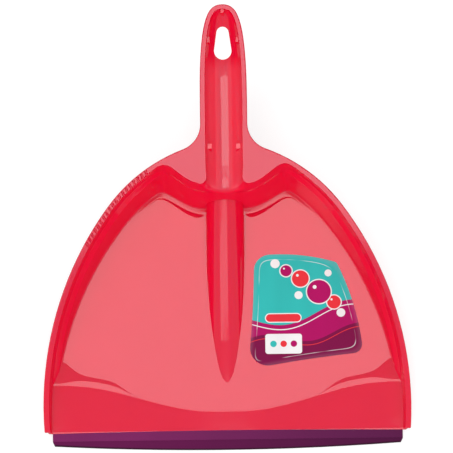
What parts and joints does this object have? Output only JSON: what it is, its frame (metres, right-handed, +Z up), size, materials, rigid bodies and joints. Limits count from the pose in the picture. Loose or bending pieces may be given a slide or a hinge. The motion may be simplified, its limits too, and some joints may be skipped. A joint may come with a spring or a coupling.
{
  "type": "dust pan",
  "caption": "Hand dust pan of glossy plastic with a wavy back wall, a hollow ridge, a channel handle, a comb on the rim and a soft lip along the mouth.",
  "frame": {"origin": "centre of the bounding box's base, on the surface that the pan stands on", "axes": "+X across the pan, +Y from the mouth to the end of the handle, +Z up; the rim leans back from the mouth"},
  "size_m": [0.27, 0.3185, 0.0767],
  "materials": {
    "pan_plastic": "glossy coral red injection moulding",
    "lip_rubber": "dark plum soft lip, satin",
    "label_film": "printed sticker in teal, magenta, coral and white, matt"
  },
  "bodies": {
    "root": {"pan": "pan_plastic", "lip": "lip_rubber", "label": "label_film"}
  },
  "joints": []
}
